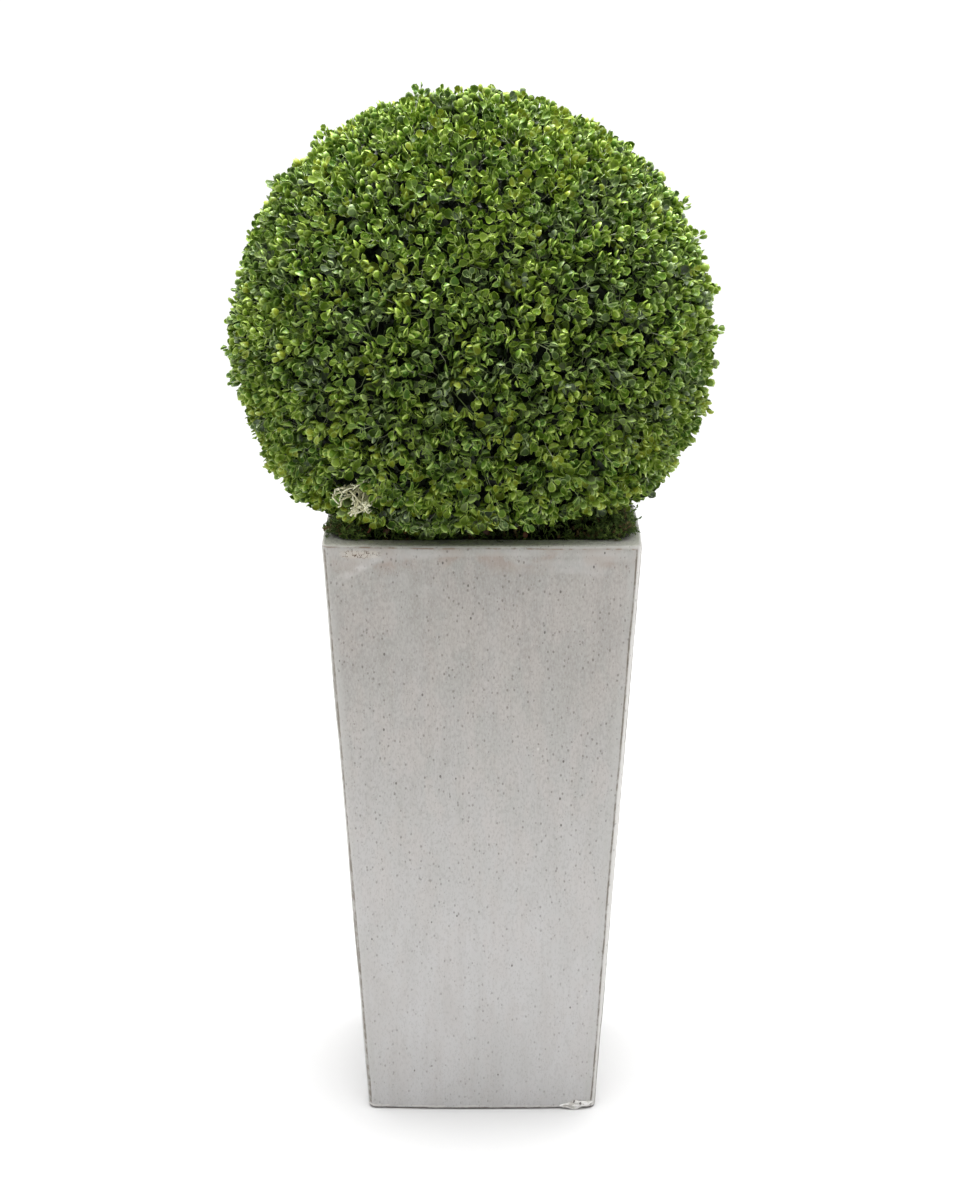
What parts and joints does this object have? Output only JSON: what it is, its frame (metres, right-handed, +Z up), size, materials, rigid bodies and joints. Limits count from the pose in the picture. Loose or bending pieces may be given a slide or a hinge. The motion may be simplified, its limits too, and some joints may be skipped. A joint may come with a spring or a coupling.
{
  "type": "artificial box topiary ball in pot",
  "caption": "Clipped round ball of artificial box foliage, dressed with moss at its foot, standing in a tall tapered square glazed stoneware pot",
  "frame": {"origin": "middle of the pot's flat underside, on the surface it stands on", "axes": "+Z up through the pot, -Y towards the front, +X to the right seen from the front"},
  "size_m": [0.5936, 0.5908, 1.272],
  "materials": {
    "glazed_stoneware": "satin",
    "fill": "matte",
    "stem_wood": "matte",
    "moss": "matte",
    "foliage": "satin",
    "lichen": "matte"
  },
  "bodies": {
    "root": {"pot": "glazed_stoneware", "pot_fill": "fill", "stem": "stem_wood", "moss_bed": "moss", "moss_front_left": "moss", "moss_front_right": "moss", "moss_back_left": "moss", "moss_back_right": "moss", "foliage_ball": "foliage", "lichen_tuft": "lichen"}
  },
  "joints": []
}
